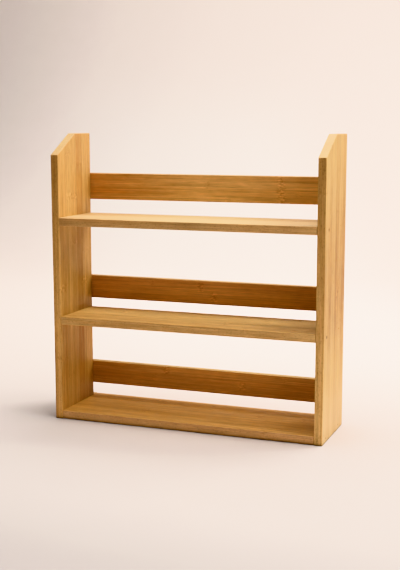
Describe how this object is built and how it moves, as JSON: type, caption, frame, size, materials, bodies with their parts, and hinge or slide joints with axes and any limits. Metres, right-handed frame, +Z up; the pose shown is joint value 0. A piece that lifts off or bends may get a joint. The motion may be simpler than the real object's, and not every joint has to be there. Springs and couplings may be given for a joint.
{
  "type": "tiered shelf rack",
  "caption": "Free-standing bamboo rack: side panels with a sloped top front corner carry full-width shelves, with a back rail above each shelf, for spice jars and small pots.",
  "frame": {"origin": "on the standing surface, at the centre of the outer box", "axes": "+Z up, +X to the right of someone facing the front, front faces -Y"},
  "size_m": [0.325, 0.0914, 0.335],
  "materials": {
    "bamboo_panel": "satin oiled bamboo laminate, grain upright",
    "bamboo_shelf": "satin oiled bamboo laminate, grain along the shelf",
    "bamboo_rail": "satin oiled bamboo laminate, grain along the rail",
    "brad_steel": "bright steel, set just below the surface"
  },
  "bodies": {
    "root": {"side_panel_left": "bamboo_panel", "side_panel_right": "bamboo_panel", "shelf_bottom": "bamboo_shelf", "shelf_middle": "bamboo_shelf", "shelf_top": "bamboo_shelf", "back_rail_bottom": "bamboo_rail", "back_rail_middle": "bamboo_rail", "back_rail_top": "bamboo_rail", "brad_shelf_bottom_left_front": "brad_steel", "brad_shelf_bottom_left_rear": "brad_steel", "brad_shelf_bottom_right_front": "brad_steel", "brad_shelf_bottom_right_rear": "brad_steel", "brad_shelf_middle_left_front": "brad_steel", "brad_shelf_middle_left_rear": "brad_steel", "brad_shelf_middle_right_front": "brad_steel", "brad_shelf_middle_right_rear": "brad_steel", "brad_shelf_top_left_front": "brad_steel", "brad_shelf_top_left_rear": "brad_steel", "brad_shelf_top_right_front": "brad_steel", "brad_shelf_top_right_rear": "brad_steel", "brad_back_rail_bottom_left_lower": "brad_steel", "brad_back_rail_bottom_left_upper": "brad_steel", "brad_back_rail_bottom_right_lower": "brad_steel", "brad_back_rail_bottom_right_upper": "brad_steel", "brad_back_rail_middle_left_lower": "brad_steel", "brad_back_rail_middle_left_upper": "brad_steel", "brad_back_rail_middle_right_lower": "brad_steel", "brad_back_rail_middle_right_upper": "brad_steel", "brad_back_rail_top_left_lower": "brad_steel", "brad_back_rail_top_left_upper": "brad_steel", "brad_back_rail_top_right_lower": "brad_steel", "brad_back_rail_top_right_upper": "brad_steel"}
  },
  "joints": []
}
